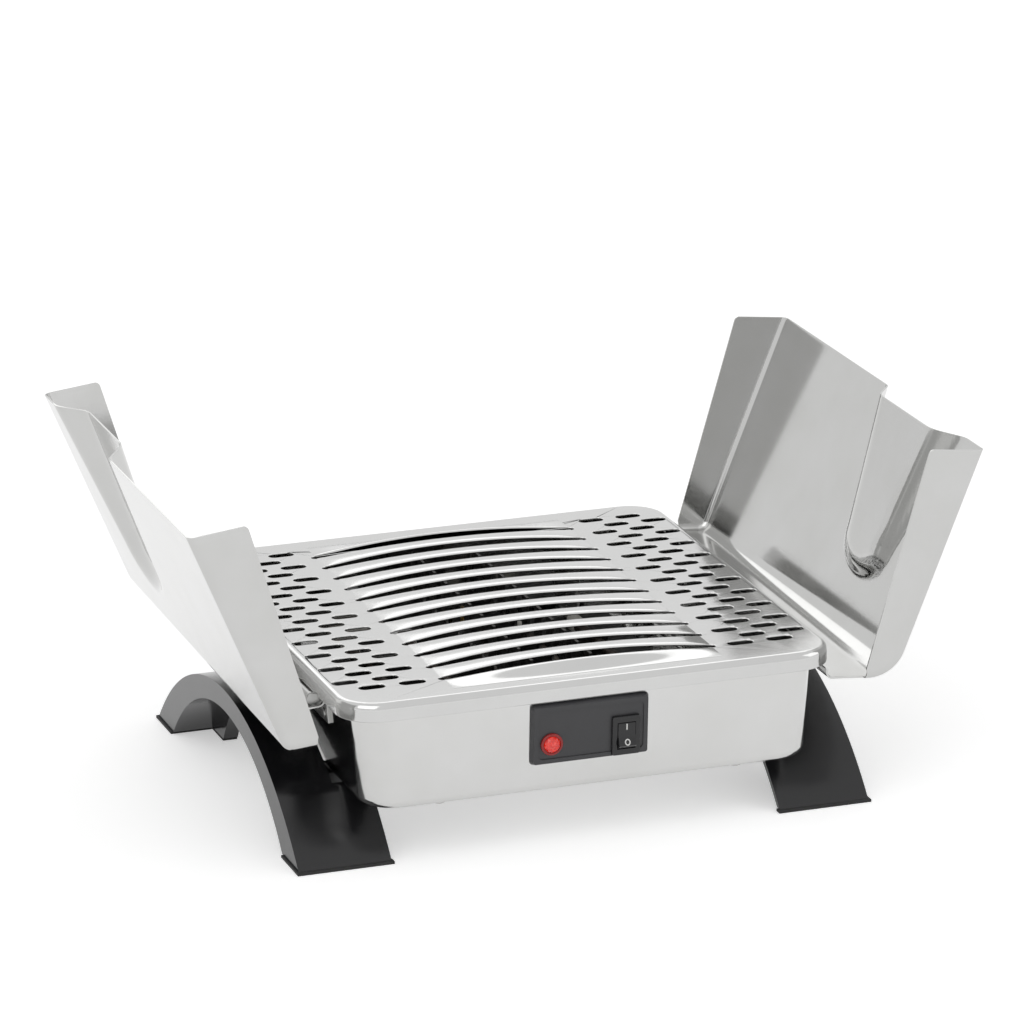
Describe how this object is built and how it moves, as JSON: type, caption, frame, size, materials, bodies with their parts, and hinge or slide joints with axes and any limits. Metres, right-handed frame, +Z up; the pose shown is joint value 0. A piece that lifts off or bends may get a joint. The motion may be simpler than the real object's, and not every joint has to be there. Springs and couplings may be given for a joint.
{
  "type": "tabletop plate warmer",
  "caption": "Low heated base with a slotted top that holds plates on edge, on two arched feet, with two hinged sheet covers at its sides.",
  "frame": {"origin": "on the ground under the middle of the base", "axes": "+X to the right seen from the switch side, +Y to the rear, +Z up"},
  "size_m": [0.422, 0.2833, 0.1902],
  "materials": {
    "steel_polished": "polished stainless steel",
    "steel_satin": "light satin stainless steel",
    "steel_cover": "polished stainless steel with faint draw marks",
    "zinc_steel": "zinc plated",
    "comb_steel": "heat-dulled sheet",
    "tray_aluminium": "dull sheet",
    "heater_sheath": "oxidised tube",
    "black_plastic": "fine moulded texture",
    "rubber": "matt",
    "panel_plastic": "satin moulded",
    "switch_plastic": "semi-gloss",
    "lamp_red": "clear red, faceted inside",
    "gland_plastic": "moulded nylon",
    "ceramic": "steatite, off-white",
    "brass": "plain",
    "wire_jacket": "glass-silk sleeve"
  },
  "bodies": {
    "base": {"top_plate": "steel_polished", "base_pan": "steel_satin", "lid_posts": "zinc_steel", "lid_screws": "zinc_steel", "hinge_brackets_right": "zinc_steel", "hinge_brackets_left": "zinc_steel", "hinge_pins_right": "zinc_steel", "hinge_pins_left": "zinc_steel", "bracket_rivets": "zinc_steel", "foot_right": "black_plastic", "foot_left": "black_plastic", "foot_pads": "rubber", "foot_screws": "zinc_steel", "foot_nuts": "zinc_steel", "reflector_tray": "tray_aluminium", "plate_comb_right": "comb_steel", "plate_comb_left": "comb_steel", "comb_rivets": "zinc_steel", "heater_right": "heater_sheath", "heater_left": "heater_sheath", "heater_insulators": "ceramic", "heater_clips": "comb_steel", "thermostat": "ceramic", "thermal_cutout": "ceramic", "switch_panel": "panel_plastic", "switch_body": "switch_plastic", "switch_tabs": "brass", "indicator_body": "lamp_red", "indicator_lens": "lamp_red", "indicator_nut": "panel_plastic", "cable_gland": "gland_plastic", "gland_nut": "gland_plastic", "terminal_block": "ceramic", "earth_stud": "brass", "wiring": "wire_jacket"},
    "cover_right": {"cover_right": "steel_cover", "hinge_barrels_right": "zinc_steel"},
    "cover_left": {"cover_left": "steel_cover", "hinge_barrels_left": "zinc_steel"},
    "rocker": {"rocker": "switch_plastic"}
  },
  "joints": [
    {"name": "right_cover_hinge", "type": "hinge", "parent": "base", "child": "cover_right", "pos_m": [0.1316, 0, 0.0765], "axis": [0, -1, 0], "range_deg": [0, 106.6]},
    {"name": "left_cover_hinge", "type": "hinge", "parent": "base", "child": "cover_left", "pos_m": [-0.1316, 0, 0.0765], "axis": [0, 1, 0], "range_deg": [0, 106.6]},
    {"name": "rocker_tilt", "type": "hinge", "parent": "base", "child": "rocker", "pos_m": [0.0153, -0.13467, 0.05863], "axis": [1, 0, 0], "range_deg": [0, 22]}
  ]
}
